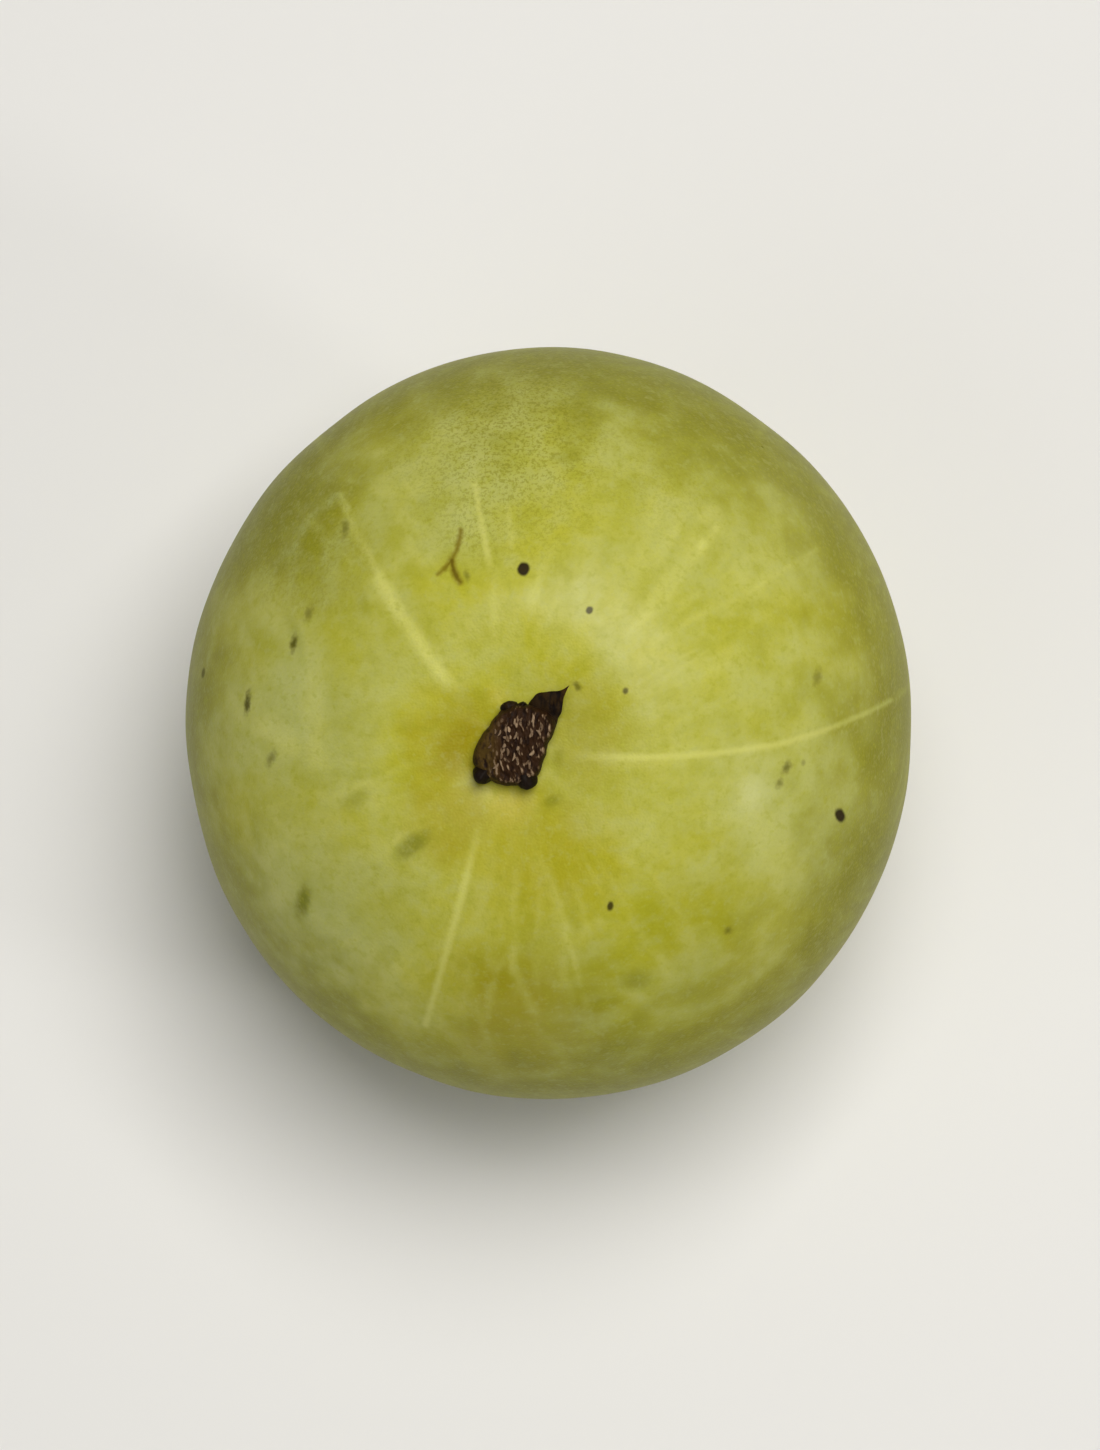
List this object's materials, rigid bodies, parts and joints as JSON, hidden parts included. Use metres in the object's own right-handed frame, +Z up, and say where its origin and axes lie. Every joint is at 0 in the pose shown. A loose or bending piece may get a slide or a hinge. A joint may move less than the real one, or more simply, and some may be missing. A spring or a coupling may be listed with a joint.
{
  "type": "indian gooseberry",
  "caption": "Whole Indian gooseberry (amla) with the dry stump of its stalk and dried calyx lobes, resting on a small flat spot.",
  "frame": {"origin": "on the small flat rest spot under the fruit, straight below the fruit's middle", "axes": "+Z up, -Y the front, the way the stem end leans; +X to the right"},
  "size_m": [0.0359, 0.037, 0.0338],
  "materials": {
    "fruit_skin": null,
    "dry_stalk": "dry, rough, dark brown broken stalk with pale fibres",
    "dry_calyx": null
  },
  "bodies": {
    "root": {"fruit": "fruit_skin", "stem_stump": "dry_stalk", "calyx_lobe_1": "dry_calyx", "calyx_lobe_2": "dry_calyx", "calyx_lobe_3": "dry_calyx", "calyx_lobe_4": "dry_calyx", "calyx_lobe_5": "dry_calyx"}
  },
  "joints": []
}
